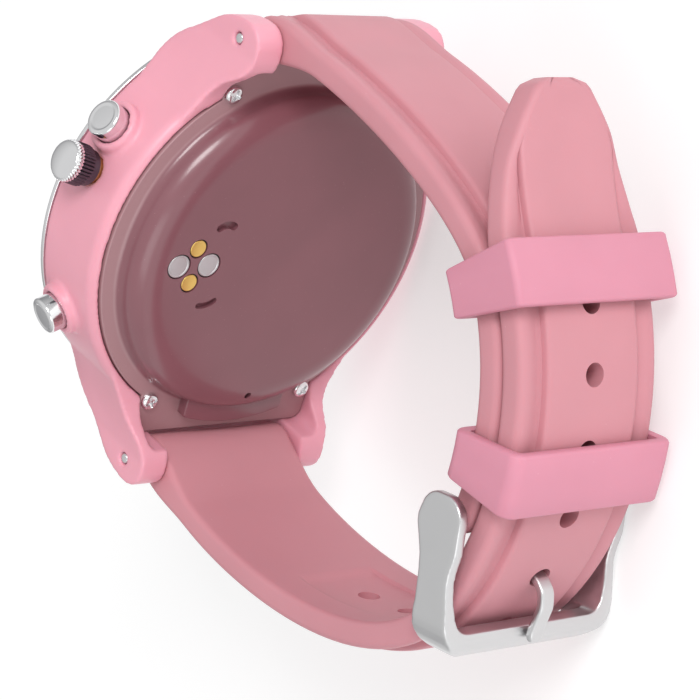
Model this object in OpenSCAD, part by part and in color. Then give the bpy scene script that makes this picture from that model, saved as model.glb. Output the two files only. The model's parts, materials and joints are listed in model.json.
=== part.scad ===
// Round smart watch on a buckled silicone band, lying on its side.
// +X points from the dial to the wrist, +Y to twelve o'clock, +Z to the crown.
// The origin is the middle of the back cover's flat face, which rests on the skin.

/* [Case] */
// Outer radius of the round case
case_r = 24.4; // [22:0.1:30]
// Wall from the case's outside to its cavity
case_wall = 3; // [2.6:0.1:4]
// Height of the pink case, from the screw flange to its front rim
case_h = 11; // [9.6:0.1:14]
// Height of the bezel ring above the front rim
bezel_h = 1.2; // [0.8:0.1:2]
// Width of the bezel ring
bezel_w = 2.1; // [1.6:0.1:3]
// Thickness of the crystal
crystal_t = 1.7; // [1.2:0.1:2.4]
// Thickness of the crystal's gasket
gasket_t = 0.3; // [0.2:0.1:0.6]

/* [Back cover] */
// Thickness of the screw flange and of the case's pocket for it
flange_t = 1.4; // [1:0.1:1.8]
// Gap between the flange and the pocket's wall
flange_gap = 0.05; // [0.02:0.01:0.2]
// Ring of case left around the flange
flange_rim = 1.25; // [0.8:0.05:1.6]
// Height of the dome behind the flange
dome_h = 3.6; // [3:0.1:5]
// Wall of the dome
dome_wall = 1.2; // [0.8:0.1:1.4]
// Step from the flange's edge to the foot of the dome
dome_step = 1.5; // [1.3:0.1:2]
// Width of the dome's rounded shoulder
shoulder_w = 4.6; // [3.5:0.1:5]
// Diameter of a screw's head
screw_head_d = 2.3; // [1.8:0.1:2.6]
// Diameter of a screw's shank
screw_d = 1.2; // [1:0.1:1.4]
// Length of a screw's shank
screw_l = 5; // [4:0.5:6]
// Diameter of a charging pad
pad_d = 2.16; // [1.6:0.02:2.4]
// Diameter of a holding magnet
magnet_d = 2.9; // [2.4:0.1:3]
// Distance between the two pads
pad_pitch = 4.44; // [4:0.02:6]
// Distance from the contacts' middle to the edge of each magnet
magnet_gap = 0.68; // [0.5:0.02:1]

/* [Lugs] */
// Distance from the case's outside to a lug pin
lug_reach = 2.9; // [2.8:0.1:5]
// Thickness of a lug
lug_t = 3.7; // [3:0.1:5]
// Radius of a lug's tip
lug_tip_r = 3.4; // [3:0.1:4]
// Angle from three o'clock at which a lug's flank leaves the round case
flank_angle = 43; // [41:1:46]
// How far a lug pin lies behind the flange
lug_drop = 0.9; // [0:0.1:1.5]
// Diameter of a lug pin's end
pin_end_d = 1.28; // [1:0.02:1.4]
// Diameter of a lug pin's middle
pin_d = 1.7; // [1.5:0.1:2]

/* [Crown and pushers] */
// Angle of the crown from three o'clock
crown_angle = 18; // [17:1:20]
// Diameter of the crown
crown_d = 4.9; // [4.6:0.1:5.1]
// Teeth on the crown's edge
crown_teeth = 36; // [24:2:48]
// Travel of the crown when it is pressed
crown_travel = 0.4; // [0.2:0.1:0.5]
// Angle of the upper pusher from three o'clock
upper_angle = 31; // [30:1:34]
// Angle of the lower pusher from three o'clock
lower_angle = -25; // [-34:1:-20]
// Diameter of a pusher's cap
cap_d = 4.4; // [3.6:0.1:4.8]
// Outer diameter of the collar around a pusher
collar_d = 6.4; // [5.6:0.1:6.6]
// Height of the collar above the case
collar_h = 1.2; // [0.8:0.1:1.6]
// Height of a pusher's face above its collar
cap_out = 1.2; // [0.8:0.1:1.6]
// Travel of a pusher
push_travel = 0.6; // [0.3:0.1:0.8]
// Height of the crown's and the pushers' axes above the flange
side_n = 6.8; // [6.4:0.1:7.2]
// Radial clearance of a sliding stem
slide_fit = 0.05; // [0.02:0.01:0.1]

/* [Band] */
// Width of the band at the lugs
strap_w = 20; // [16:0.5:24]
// How much narrower the band is at the closure
band_taper = 0.2; // [0:0.1:4]
// Thickness of the band
strap_t = 3.1; // [2.4:0.1:3.8]
// Height of the raised middle of the band
rib_t = 0.6; // [0.3:0.1:1]
// Width of the raised middle of the band
rib_w = 13.2; // [10:0.2:14]
// Radius of the band's barrel around a lug pin
barrel_r = 2.6; // [2.2:0.1:2.7]
// Gap between the band's two layers
layer_gap = 0.4; // [0.3:0.05:0.8]
// Depth of the loop, from the skin face to the middle of the short strap
loop_depth = 48.6; // [46:0.2:60]
// Radius of the closure's curve
closure_r = 31; // [28:0.5:36]
// Sideways place of the closure's centre
closure_y = -1.6; // [-3:0.1:0]
// Distance between two adjustment holes
hole_pitch = 7.5; // [6:0.1:9]
// Diameter of an adjustment hole
hole_d = 2.6; // [2.4:0.1:3]
// Holes on each side of the one in use
holes_each_way = 4; // [2:1:4]

/* [Closure] */
// Length of a keeper along the band
keeper_l = 6.2; // [4:0.1:7]
// Wall of a keeper
keeper_wall = 1.3; // [1:0.1:2]
// Gap between a keeper and the band
keeper_gap = 0.3; // [0.2:0.05:0.5]
// Diameter of the buckle's pin
buckle_pin_d = 1.5; // [1.2:0.1:1.8]
// Length of the buckle from its pin to the end of its bar
buckle_l = 15.2; // [14.4:0.1:16]
// Thickness of a buckle arm
arm_t = 2; // [1.4:0.1:2.6]
// Width of the prong
prong_w = 1.9; // [1.4:0.1:2]
// Thickness of the prong
prong_t = 1; // [0.8:0.1:1.2]

/* [Hidden] */
$fn = 72;

// Head of the watch: x to the crown, y to twelve o'clock, z out of the dial
cavity_r = case_r - case_wall;
flange_r = case_r - flange_rim - flange_gap;
dome_r = flange_r - dome_step;
flat_r = dome_r - shoulder_w;
dome_in_r = flat_r + 1.4;
pin_y = case_r + lug_reach;
slot_w = strap_w + 0.2;
lug_out = slot_w / 2 + lug_t;
tab_w = lug_out - 1.05;
tab_y = case_r - 0.05;
screw_x = tab_w - screw_head_d / 2 - 0.1;
screw_y = sqrt(flange_r * flange_r - screw_x * screw_x);
contact_x = flat_r - magnet_d - magnet_gap - 0.12;
crystal_r = case_r - bezel_w - 0.05;
panel_r = cavity_r - 4.4;
board_n = flange_t + 0.6;
board_t = 1;
board_top = board_n + board_t;
board_r = cavity_r - 1;
seat_n = case_h - 0.8;
panel_t = 0.6;
panel_n = seat_n + gasket_t - panel_t;
display_t = 2;
display_n = panel_n - display_t;
frame_n = display_n - 1;
frame_foot = 0.8;
battery_shift = 3;
battery_side = sqrt(2 * pow(dome_in_r - 0.6, 2) - pow(battery_shift, 2)) - battery_shift;
battery_from = dome_wall + 0.2 - dome_h;
switch_r = cavity_r - 3.8;
switch_t = 1.6;
switch_face = switch_r + switch_t;

// Crown and pushers, by distance from the case axis
collar_r = case_r + collar_h;
cap_face = collar_r + cap_out;
cap_under = collar_r - 0.4;
spring_floor = case_r - 1;
stem_d = 1.5;
stem_end = switch_face + push_travel + 0.15;
clip_t = 0.4;
clip_r = cavity_r - 0.35;
clip_d = 3;
crown_base = case_r + 1.35;
crown_h = 2.5;
crown_cap = 0.45;
recess_h = 1;
recess_end = crown_base + recess_h;
tube_d = 3.4;
tube_bore = 2.6;
tube_end = recess_end - crown_travel - 0.05;
crown_stem_d = 1.4;
crown_stem_end = switch_face + crown_travel + 0.15;

// The closure's curve carries the short strap; the tail lies one layer outside it
closure_c = [loop_depth - closure_r, closure_y];
layer_pitch = strap_t + layer_gap;
tail_r = closure_r + layer_pitch;
buckle_at = -6;
short_join = 42;
tail_join = -26;
tail_leave = 42;
hole_at = -14.3;
fixed_at = 7;
free_at = 41;

function on_curve(r, a) = closure_c + r * [cos(a), sin(a)];
function bezier(p, t) =
    pow(1 - t, 3) * p[0] + 3 * t * pow(1 - t, 2) * p[1] + 3 * t * t * (1 - t) * p[2]
    + pow(t, 3) * p[3];
function bezier_way(p, t) =
    pow(1 - t, 2) * (p[1] - p[0]) + 2 * t * (1 - t) * (p[2] - p[1]) + t * t * (p[3] - p[2]);
// A run from one pose [x, y, heading] to another, with a handle at each end
function run(from, to, reach_a, reach_b, steps) =
    let (a = [from[0], from[1]], b = [to[0], to[1]])
    let (p = [a, a + reach_a * [cos(from[2]), sin(from[2])],
              b - reach_b * [cos(to[2]), sin(to[2])], b])
    [for (i = [0 : steps])
        let (q = bezier(p, i / steps), w = bezier_way(p, i / steps)) [q[0], q[1], atan2(w[1], w[0])]];
// A step of the given length that turns evenly by the given angle
function step(pose, length, turn) =
    let (half = turn / 2, chord = abs(turn) < 0.01 ? length : length * sin(half) / (half * PI / 180))
    [pose[0] + chord * cos(pose[2] + half), pose[1] + chord * sin(pose[2] + half), pose[2] + turn];
function bend(pose, length, turn, steps) =
    [for (i = [1 : steps]) step(pose, length * i / steps, turn * i / steps)];
// Distance from the start of a path to each of its poses
function distances(path) =
    [for (i = 0, d = 0; i < len(path);
          d = d + (i < len(path) - 1 ? gap_between(path[i], path[i + 1]) : 0), i = i + 1) d];
function gap_between(a, b) = norm([b[0] - a[0], b[1] - a[1]]);
function pose_at(path, marks, s) =
    let (i = max([for (k = [0 : len(marks) - 2]) if (marks[k] <= s) k]))
    path[i] + (s - marks[i]) / (marks[i + 1] - marks[i]) * (path[i + 1] - path[i]);
function ease(f) = let (c = min(1, max(0, f))) c * c * (3 - 2 * c);
// Half the band's thickness at a distance from the lug pin
function half_t(s) = barrel_r + (strap_t / 2 - barrel_r) * ease((s - 1) / 9);
function side_point(pose, off) = [pose[0] - off * sin(pose[2]), pose[1] + off * cos(pose[2])];
// Outline of a band along a path, with half its thickness plus extra on each side
function band_outline(path, marks, left, right) = concat(
    [for (i = [0 : len(path) - 1]) side_point(path[i], half_t(marks[i]) + left)],
    [for (i = [len(path) - 1 : -1 : 0]) side_point(path[i], -half_t(marks[i]) - right)]);

lug_x = lug_drop - dome_h;
short_start = on_curve(closure_r, short_join);
short_path = concat(
    run([lug_x, pin_y, 23], [short_start[0], short_start[1], short_join - 90], 8, 10, 24),
    [for (a = [short_join - 2 : -2 : buckle_at])
        let (q = on_curve(closure_r, a)) [q[0], q[1], a - 90]]);
short_marks = distances(short_path);
tail_start = on_curve(tail_r, tail_join);
tail_end = on_curve(tail_r, tail_leave);
long_arc = concat(
    run([lug_x, -pin_y, -28], [tail_start[0], tail_start[1], tail_join + 90], 14, 16, 28),
    [for (a = [tail_join + 2 : 2 : tail_leave])
        let (q = on_curve(tail_r, a)) [q[0], q[1], a + 90]]);
straight_l = 1;
tip_turn = -14;
tip_l = 15;
end_l = 4.3;
tip_start = step([tail_end[0], tail_end[1], tail_leave + 90], straight_l, 0);
tip_mid = step(tip_start, tip_l, tip_turn);
long_path = concat(long_arc, [tip_start], bend(tip_start, tip_l, tip_turn, 9), bend(tip_mid, end_l, 0, 1));
long_marks = distances(long_path);
hole_s = long_marks[28] + (hole_at - tail_join) * PI / 180 * tail_r;
rib_start = lug_x + 6;

tail_w = strap_w - band_taper;

// Buckle, in a frame at its pin: x along the arms, y away from the wrist
buckle_turn = -75.5;
arm_in = tail_w / 2 + 0.5;
arm_out = arm_in + arm_t;
pin_fit = 0.05;
buckle_bore = buckle_pin_d + 2 * pin_fit;
prong_slot = prong_w + 0.6;

module watch_head() {
    translate([-dome_h, 0, 0]) rotate([0, -90, 0]) children();
}

// Points x outwards along a radius of the case, at the side buttons' height
module side_axis(angle) {
    watch_head() rotate([0, 0, angle]) translate([0, 0, side_n]) rotate([0, 90, 0]) children();
}

module four_screws() {
    for (sx = [-1, 1], sy = [-1, 1]) translate([sx * screw_x, sy * screw_y, 0]) children();
}

module flange_outline(grow) {
    circle(r = flange_r + grow, $fn = 144);
    square([2 * (tab_w + grow), 2 * (tab_y + grow)], center = true);
}

module disc(r, h, from) {
    translate([0, 0, from]) cylinder(r = r, h = h, $fn = 144);
}

module ring(inner, outer, h, from) {
    difference() {
        disc(outer, h, from);
        disc(inner, h + 2, from - 1);
    }
}

module box_at(size, from) {
    translate([-size[0] / 2, -size[1] / 2, from]) cube(size);
}

module case_shell() {
    rotate_extrude($fn = 144) polygon([
        [cavity_r, 0], [case_r - 0.7, 0], [case_r - 0.2, 0.5], [case_r, 1.4],
        [case_r, case_h - 1], [case_r - 0.12, case_h - 0.4], [case_r - 0.4, case_h], [cavity_r, case_h]
    ]);
}

module lug_side() {
    tip_y = pin_y - 0.9;
    tip_n = -lug_drop - 0.7;
    translate([tip_y, tip_n]) circle(r = lug_tip_r);
    polygon([
        [case_r - 8.5, 0.4], [case_r - 3, -0.9], [tip_y - 1.6, tip_n - 3],
        [tip_y + 2.75, tip_n + 2], [case_r + 1.7, tip_n + 6.6], [case_r - 1.2, case_h - 2.2],
        [case_r - 4, case_h - 0.4], [case_r - 8.5, case_h - 0.4]
    ]);
}

// Plan of a lug: its flank runs from the round case to the lug's tip in one shallow curve
module lug_plan() {
    root = 0.995 * case_r * [cos(flank_angle), sin(flank_angle)];
    tip = [lug_out, pin_y - 1.3];
    pull = [lug_out + 1, 0.857 * case_r];
    polygon([
        [slot_w / 2, case_r - 9], [root[0], case_r - 9], for (t = [0 : 0.25 : 1])
            (1 - t) * (1 - t) * root + 2 * t * (1 - t) * pull + t * t * tip,
        [lug_out, pin_y + 2 * lug_tip_r], [slot_w / 2, pin_y + 2 * lug_tip_r]
    ]);
}

module lugs() {
    for (sx = [0, 1], sy = [-1, 1]) mirror([sx, 0, 0]) intersection() {
        rotate([90, 0, sy * 90]) linear_extrude(height = 2 * case_r, center = true) lug_side();
        translate([0, 0, -2 * lug_tip_r]) linear_extrude(height = case_h + 2 * lug_tip_r)
            mirror([0, sy < 0 ? 1 : 0]) lug_plan();
    }
}

module end_blocks() {
    for (sy = [-1, 1]) translate([-lug_out + 0.2, sy > 0 ? case_r - 8 : -case_r, flange_t])
        cube([2 * lug_out - 0.4, 8, case_h - flange_t - 1.6]);
}

module collar(angle) {
    rotate([0, 0, angle]) translate([0, 0, side_n]) rotate([0, 90, 0])
        rotate_extrude() polygon([
            [0, case_r - 2], [collar_d / 2, case_r - 2], [collar_d / 2, collar_r - 0.5],
            [collar_d / 2 - 0.15, collar_r - 0.15], [collar_d / 2 - 0.5, collar_r], [0, collar_r]
        ]);
}

module pusher_bore(angle) {
    rotate([0, 0, angle]) translate([0, 0, side_n]) rotate([0, 90, 0]) {
        translate([0, 0, spring_floor]) cylinder(d = cap_d + 2 * slide_fit, h = 6);
        translate([0, 0, cavity_r - 2]) cylinder(d = stem_d + 2 * slide_fit, h = 6);
    }
}

module case_middle() {
    color("pink") watch_head() difference() {
        union() {
            case_shell();
            lugs();
            end_blocks();
            collar(upper_angle);
            collar(lower_angle);
        }
        disc(cavity_r, seat_n + 6, -5);
        disc(crystal_r + 0.05, 2, seat_n);
        translate([0, 0, -12]) linear_extrude(height = 12 + flange_t) flange_outline(flange_gap);
        pusher_bore(upper_angle);
        pusher_bore(lower_angle);
        rotate([0, 0, crown_angle]) translate([0, 0, side_n]) rotate([0, 90, 0])
            translate([0, 0, cavity_r - 2]) cylinder(d = tube_d, h = 6);
        for (sy = [-1, 1]) translate([0, sy * pin_y, -lug_drop]) rotate([0, 90, 0])
            cylinder(d = pin_end_d + 0.1, h = 60, center = true);
        four_screws() cylinder(d = screw_d + 0.02, h = screw_l + 0.4);
    }
}

module bezel_ring() {
    color("silver") watch_head() rotate_extrude($fn = 144) polygon([
        [case_r - bezel_w, case_h], [case_r, case_h], [case_r, case_h + 0.5 * bezel_h],
        [case_r - 0.25 * bezel_w, case_h + bezel_h], [case_r - bezel_w, case_h + bezel_h]
    ]);
}

module crystal() {
    color("darkslategray") watch_head() disc(crystal_r, crystal_t, seat_n + gasket_t);
}

module crystal_gasket() {
    color("black") watch_head() ring(cavity_r + 0.1, crystal_r, gasket_t, seat_n);
}

module touch_panel() {
    color("dimgray") watch_head() disc(panel_r, panel_t, panel_n);
}

module display_module() {
    color("black") watch_head() disc(panel_r, display_t, display_n);
}

// Holds the board down and the display up; its foot is open past the side switches
module inner_frame() {
    foot_in = board_r - 2;
    color("gray") watch_head() difference() {
        union() {
            rotate([0, 0, upper_angle + 8])
                rotate_extrude(angle = 344 - upper_angle + lower_angle, $fn = 144)
                    translate([foot_in, board_top]) square([cavity_r - 0.1 - foot_in, frame_foot]);
            ring(panel_r - 1.4, panel_r + 0.4, 1, frame_n);
            for (a = [75 : 60 : 315]) rotate([0, 0, a]) translate([panel_r - 1, -1.5, board_top])
                cube([cavity_r - panel_r - 0.2, 3, frame_n + 1 - board_top]);
        }
        for (a = [lower_angle, crown_angle, upper_angle]) rotate([0, 0, a])
            translate([switch_r - 0.3, -2, board_top - 1]) cube([8, 4, case_h]);
    }
}

module main_board() {
    color("darkgreen") watch_head() disc(board_r, board_t, board_n);
}

module shield_can() {
    color("silver") watch_head() translate([-1, 6, 0]) box_at([13, 11, 1.8], board_top);
}

module vibration_motor() {
    color("lightgray") watch_head() translate([-7, -9, board_top]) cylinder(r = 4, h = 2.6);
}

module microphone() {
    color("gold") watch_head() translate([-0.4, -cavity_r + 4.8, 0]) box_at([3, 2.2, 1], board_n - 1);
}

module side_switches() {
    color("dimgray") watch_head() for (a = [lower_angle, crown_angle, upper_angle]) {
        wide = a == lower_angle ? 3.4 : 2.6;
        rotate([0, 0, a]) translate([switch_r, -wide / 2, board_top])
            cube([switch_t, wide, side_n + 1.3 - board_top]);
    }
}

module battery() {
    color("gainsboro") watch_head() translate([-battery_shift, 0, 0])
        box_at([battery_side, battery_side, board_n - 0.4 - battery_from], battery_from);
}

module battery_pad() {
    side = battery_side - 6;
    color("white") watch_head() translate([-battery_shift, 0, 0]) box_at([side, side, 0.2], battery_from - 0.2);
}

module charge_flex() {
    strip_x = contact_x + pad_pitch / 2 + 1.2;
    color("orange") watch_head() union() {
        translate([strip_x / 2 + 4.8, 0, 0]) box_at([strip_x - 9.6, 6.8, 0.15], -dome_h + dome_wall);
        translate([strip_x - 0.15, 0, 0]) box_at([0.3, 4, board_n + dome_h - dome_wall], -dome_h + dome_wall);
    }
}

module contact_spots(d, along) {
    for (s = [-1, 1]) translate([contact_x + s * along[0], s * along[1], -dome_h])
        cylinder(d = d, h = dome_wall);
}

module dome_profile() {
    polygon(concat(
        [[0, -dome_h], [flat_r, -dome_h]],
        [for (a = [15 : 15 : 75]) [flat_r + (shoulder_w - 0.9) * sin(a), -dome_h + (dome_h - 1.1) * (1 - cos(a))]],
        [[dome_r - 0.9, -1.1], [dome_r - 0.5, -0.25], [dome_r, 0], [dome_r, flange_t], [0, flange_t]]));
}

module back_cover() {
    color("rosybrown") watch_head() difference() {
        union() {
            linear_extrude(height = flange_t) flange_outline(0);
            rotate_extrude($fn = 144) dome_profile();
            ring(board_r - 1.2, board_r, board_n, 0);
            intersection() {
                ring(dome_r - 3, flange_r, 1.6, -1.6);
                translate([-7.7, -case_r, -1.6]) cube([14.6, 8, 1.6]);
            }
        }
        disc(dome_in_r, dome_h - dome_wall + board_n + 1, -dome_h + dome_wall);
        ring(cavity_r + 0.35, cavity_r + 1.05, 1, flange_t - 0.5);
        four_screws() translate([0, 0, -1]) cylinder(d = screw_d + 0.3, h = flange_t + 2);
        contact_relief();
        translate([-0.4, -cavity_r + 3.1, -dome_h]) cylinder(d = 0.9, h = dome_h + 4);
    }
}

// Opens the contact holes all the way through the dome's wall
module contact_relief() {
    for (s = [-1, 1]) {
        translate([contact_x, s * pad_pitch / 2, -dome_h - 1]) cylinder(d = pad_d + 0.1, h = dome_wall + 2);
        translate([contact_x + s * (magnet_d / 2 + magnet_gap), 0, -dome_h - 1])
            cylinder(d = magnet_d + 0.1, h = dome_wall + 2);
    }
}

module cover_gasket() {
    color("black") watch_head() ring(cavity_r + 0.37, cavity_r + 1.03, 0.5, flange_t - 0.5);
}

module back_screws() {
    head_h = 0.6;
    color("silver") watch_head() four_screws() difference() {
        union() {
            translate([0, 0, -head_h]) cylinder(d = screw_head_d, h = head_h);
            cylinder(d = screw_d, h = screw_l);
        }
        for (a = [30, 120]) rotate([0, 0, a]) translate([-0.75, -0.15, -head_h - 1]) cube([1.5, 0.3, 1.35]);
    }
}

module charge_pads() {
    color("gold") watch_head() contact_spots(pad_d, [0, pad_pitch / 2]);
}

module magnets() {
    color("silver") watch_head() contact_spots(magnet_d, [magnet_d / 2 + magnet_gap, 0]);
}

module crown_tube() {
    color("goldenrod") side_axis(crown_angle) difference() {
        translate([0, 0, cavity_r + 0.1]) cylinder(d = tube_d, h = tube_end - cavity_r - 0.1);
        translate([0, 0, cavity_r - 1]) cylinder(d = tube_bore, h = 12);
    }
}

module crown_sleeve() {
    collar_t = 0.5;
    from = cavity_r - crown_travel - 0.2;
    color("dimgray") side_axis(crown_angle) difference() {
        union() {
            translate([0, 0, from]) cylinder(d = tube_bore - 2 * slide_fit, h = recess_end - 0.05 - from);
            translate([0, 0, from - collar_t]) cylinder(d = 3.4, h = collar_t);
        }
        translate([0, 0, from - 2]) cylinder(d = crown_stem_d + 2 * slide_fit, h = 14);
    }
}

module crown_stem() {
    color("silver") side_axis(crown_angle) translate([0, 0, crown_stem_end])
        cylinder(d = crown_stem_d, h = recess_end - crown_stem_end);
}

module crown() {
    tooth = 360 / crown_teeth;
    root_r = crown_d / 2 - 0.16;
    color("silver") side_axis(crown_angle) difference() {
        union() {
            translate([0, 0, crown_base]) linear_extrude(height = crown_h - 0.4) polygon(
                [for (i = [0 : crown_teeth - 1], k = [0, 1, 2])
                    let (r = k == 1 ? crown_d / 2 : root_r) r * [cos((i + k / 3) * tooth), sin((i + k / 3) * tooth)]]);
            rotate_extrude() polygon(concat(
                [[0, crown_base + 0.5], [root_r, crown_base + 0.5], [root_r, crown_base + crown_h - 0.2]],
                [for (a = [0 : 15 : 90])
                    [(root_r - 0.1) * cos(a), crown_base + crown_h - 0.1 + crown_cap * sin(a)]]));
        }
        translate([0, 0, crown_base - 1]) cylinder(d = tube_d + 0.3, h = recess_h + 1);
    }
}

module pusher(angle) {
    color("silver") side_axis(angle) union() {
        translate([0, 0, stem_end]) cylinder(d = stem_d, h = cap_under - stem_end + 0.1);
        rotate_extrude() polygon(concat(
            [[0, cap_under], [cap_d / 2, cap_under], [cap_d / 2, cap_face - 0.7]],
            [for (a = [15 : 15 : 90])
                [cap_d / 2 - 0.7 * (1 - cos(a)), cap_face - 0.7 + 0.55 * sin(a)]],
            [[0, cap_face]]));
    }
}

module pusher_upper() {
    pusher(upper_angle);
}

module pusher_lower() {
    pusher(lower_angle);
}

module pusher_clip(angle) {
    color("gray") side_axis(angle) ring_clip();
}

module ring_clip() {
    difference() {
        translate([0, 0, clip_r - clip_t]) cylinder(d = clip_d, h = clip_t);
        translate([0, 0, clip_r - 2]) cylinder(d = stem_d + 0.01, h = 4);
    }
}

module pusher_clip_upper() {
    pusher_clip(upper_angle);
}

module pusher_clip_lower() {
    pusher_clip(lower_angle);
}

// Return springs, drawn at the length they have when the pusher is in
module pusher_springs() {
    wire = 0.26;
    mean_r = stem_d / 2 + 0.5;
    low = spring_floor + wire / 2;
    high = cap_under - push_travel - 0.1 - wire / 2;
    turns = 3;
    rings = 12 * turns;
    sides = 6;
    points = [for (i = [0 : rings], k = [0 : sides - 1])
        let (a = 360 * turns * i / rings, c = 360 * k / sides, r = mean_r + wire / 2 * cos(c))
        [r * cos(a), r * sin(a), low + (high - low) * i / rings + wire / 2 * sin(c)]];
    walls = [for (i = [0 : rings - 1], k = [0 : sides - 1])
        let (n = (k + 1) % sides) [i * sides + k, i * sides + n, (i + 1) * sides + n, (i + 1) * sides + k]];
    ends = [[for (k = [sides - 1 : -1 : 0]) k], [for (k = [0 : sides - 1]) rings * sides + k]];
    color("gray") for (a = [upper_angle, lower_angle]) side_axis(a) polyhedron(points, concat(walls, ends));
}

module lug_pin(side) {
    color("silver") translate([lug_x, side * pin_y, 0]) union() {
        cylinder(d = pin_end_d, h = 2 * lug_out - 0.4, center = true);
        cylinder(d = pin_d, h = strap_w - 0.2, center = true);
    }
}

module lug_pin_upper() {
    lug_pin(1);
}

module lug_pin_lower() {
    lug_pin(-1);
}

// Plan of a band that narrows from the lugs to the closure
module band_plan() {
    far = loop_depth + 20;
    rotate([90, 0, 0]) linear_extrude(height = 4 * case_r, center = true) polygon([
        [lug_x - 9, -strap_w / 2], [lug_x + 5, -strap_w / 2], [loop_depth - 10, -tail_w / 2],
        [far, -tail_w / 2], [far, tail_w / 2], [loop_depth - 10, tail_w / 2], [lug_x + 5, strap_w / 2],
        [lug_x - 9, strap_w / 2]
    ]);
}

module at_pose(pose) {
    translate([pose[0], pose[1], 0]) rotate([0, 0, pose[2]]) children();
}

module on_closure(r, a) {
    q = on_curve(r, a);
    translate([q[0], q[1], 0]) rotate([0, 0, a]) children();
}

module short_strap() {
    end_r = strap_t / 2 + 0.05;
    end = on_curve(closure_r, buckle_at);
    color("lightpink") difference() {
        union() {
            intersection() {
                linear_extrude(height = strap_w, center = true)
                    polygon(band_outline(short_path, short_marks, 0, 0));
                band_plan();
            }
            intersection() {
                linear_extrude(height = rib_w, center = true)
                    polygon(band_outline(short_path, short_marks, rib_t, 0));
                rib_zone(short_start[0] - 4);
            }
            translate([lug_x, pin_y, 0]) cylinder(r = barrel_r, h = strap_w, center = true);
            translate([end[0], end[1], 0]) cylinder(r = end_r, h = tail_w, center = true);
        }
        translate([lug_x, pin_y, 0]) cylinder(d = pin_d + 0.1, h = 60, center = true);
        translate([end[0], end[1], 0]) cylinder(d = buckle_pin_d + 0.02, h = 60, center = true);
        on_closure(closure_r, buckle_at) translate([-4, -6, -prong_slot / 2]) cube([8, 8.1, prong_slot]);
    }
}

module tail_tip_cut() {
    tip = long_path[len(long_path) - 1];
    for (s = [-1, 1]) at_pose(tip) rotate([90, 0, 0]) linear_extrude(height = 20, center = true) polygon([
        [1, s * (tail_w * 0.13)], [-0.4, s * (tail_w * 0.19)], [-3.5, s * (tail_w * 0.3)],
        [-5, s * (tail_w * 0.345)], [-8, s * (tail_w * 0.41)], [-12, s * (tail_w * 0.468)],
        [-17, s * (tail_w / 2 + 0.1)], [-17, s * tail_w], [1, s * tail_w]
    ]);
}

module long_strap() {
    color("lightpink") difference() {
        union() {
            intersection() {
                linear_extrude(height = strap_w, center = true)
                    polygon(band_outline(long_path, long_marks, 0, 0));
                band_plan();
            }
            intersection() {
                linear_extrude(height = rib_w, center = true)
                    polygon(band_outline(long_path, long_marks, 0, rib_t));
                rib_zone(loop_depth + 20);
            }
            translate([lug_x, -pin_y, 0]) cylinder(r = barrel_r, h = strap_w, center = true);
        }
        translate([lug_x, -pin_y, 0]) cylinder(d = pin_d + 0.1, h = 60, center = true);
        for (i = [-holes_each_way : holes_each_way])
            at_pose(pose_at(long_path, long_marks, hole_s + i * hole_pitch))
                rotate([90, 0, 0]) cylinder(d = hole_d, h = 8, center = true);
        tail_tip_cut();
    }
}

// The raised middle starts clear of the barrel
module rib_zone(to) {
    translate([rib_start, -2 * case_r, -strap_w]) cube([to - rib_start, 4 * case_r, 2 * strap_w]);
}

// A keeper's ring, in the closure's own frame: x away from the wrist
module keeper(a, clearance) {
    inner_w = tail_w + 2 * clearance;
    low = closure_r - strap_t / 2 - clearance;
    high = tail_r + strap_t / 2 + rib_t + clearance;
    half = keeper_l / (closure_r + tail_r) * 180 / PI;
    outer_w = inner_w + 2 * keeper_wall;
    translate([closure_c[0], closure_c[1], 0]) rotate([0, 0, a - half])
        rotate_extrude(angle = 2 * half, $fn = 360) difference() {
            translate([low - keeper_wall, -outer_w / 2]) square([high - low + 2 * keeper_wall, outer_w]);
            translate([low, -inner_w / 2]) square([high - low, inner_w]);
        }
}

module keeper_fixed() {
    color("hotpink") keeper(fixed_at, keeper_gap);
}

module keeper_free() {
    color("hotpink") keeper(free_at, keeper_gap + 0.1);
}

module at_buckle() {
    end = on_curve(closure_r, buckle_at);
    translate([end[0], end[1], 0]) rotate([0, 0, buckle_turn]) children();
}

module buckle_pin() {
    color("silver") at_buckle() cylinder(d = buckle_pin_d, h = 2 * arm_out - 0.6, center = true);
}

// Side view of a buckle arm: a paddle at the pin, a waist, and a round heel
module arm_side() {
    circle(r = 3);
    polygon([
        [-1.2, -2.75], [0.2, -3.6], [2, -3.45], [4.2, -2.75], [8.6, -2.6], [12.4, -2.75], [14.4, -2.5],
        [buckle_l, -0.7],
        [buckle_l, 1.2], [buckle_l - 1.1, 2.6], [buckle_l - 2.8, 2.9], [8, 2.1], [5, 2], [2.2, 2.6], [0, 3]
    ]);
}

module bar_side() {
    polygon([
        [buckle_l - 3.2, 2.2], [buckle_l - 3.2, 0.4], [buckle_l - 1.9, -1.1], [buckle_l - 0.8, -1.3],
        [buckle_l, -0.5], [buckle_l, 1.2], [buckle_l - 1.1, 2.6], [buckle_l - 2.8, 2.9]
    ]);
}

module buckle_frame() {
    color("silver") at_buckle() difference() {
        union() {
            for (s = [-1, 1]) translate([0, 0, s * (arm_in + arm_t / 2)])
                linear_extrude(height = arm_t, center = true) arm_side();
            linear_extrude(height = 2 * arm_in + 1, center = true) bar_side();
        }
        cylinder(d = buckle_bore, h = 60, center = true);
    }
}

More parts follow.
